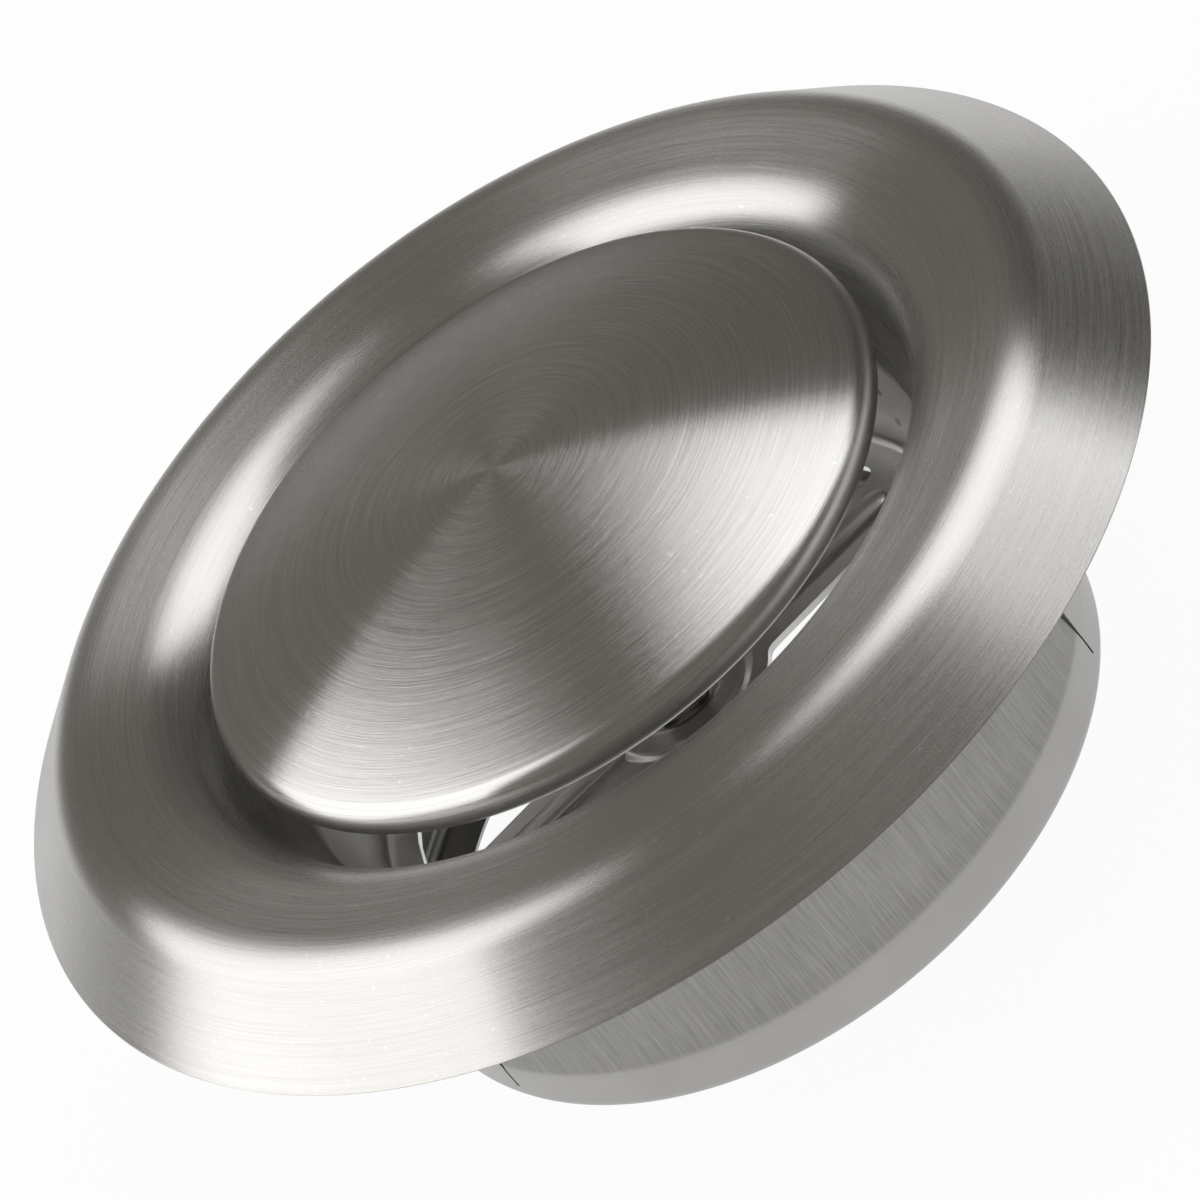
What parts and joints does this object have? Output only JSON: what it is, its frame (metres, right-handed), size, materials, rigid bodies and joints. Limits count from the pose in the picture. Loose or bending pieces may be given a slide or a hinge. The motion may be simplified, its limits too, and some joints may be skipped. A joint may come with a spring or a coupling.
{
  "type": "round soffit vent",
  "caption": "Round brushed steel disc valve for a duct's end: a flared ring on a sleeve, and a domed disc that screws in and out to set the air gap.",
  "frame": {"origin": "centre of the duct's mouth in the ceiling's face, where the ring's rear edge rests", "axes": "+Z along the duct's axis out into the room, +X along the crossbar"},
  "size_m": [0.197, 0.197, 0.0777],
  "materials": {
    "brushed_ring": "brushed in circles",
    "brushed_disc": "brushed in circles",
    "mill_sheet": "plain cold-rolled sheet",
    "turned_steel": "turned and plated",
    "foam": "closed-cell foam"
  },
  "bodies": {
    "valve_body": {"valve_ring": "brushed_ring", "foam_gasket": "foam", "duct_sleeve": "mill_sheet", "crossbar_cup": "mill_sheet", "hub_nut": "turned_steel"},
    "locking": {"lock_nut": "turned_steel", "lock_washer": "turned_steel"},
    "disc": {"stem": "turned_steel", "disc_nut": "turned_steel", "disc_back": "mill_sheet", "disc_front": "brushed_disc"}
  },
  "joints": [
    {"name": "disc_travel", "type": "slide", "parent": "valve_body", "child": "locking", "axis": [0, 0, 1], "range_m": [-0.0125, 0]},
    {"name": "disc_turn", "type": "hinge", "parent": "locking", "child": "disc", "pos_m": [0, 0, 0], "axis": [0, 0, 1], "range_deg": [-3600, 0]}
  ],
  "couplings": [
    {"joint": "disc_travel", "follows": "disc_turn", "m_per_rad": 0.00019894}
  ]
}
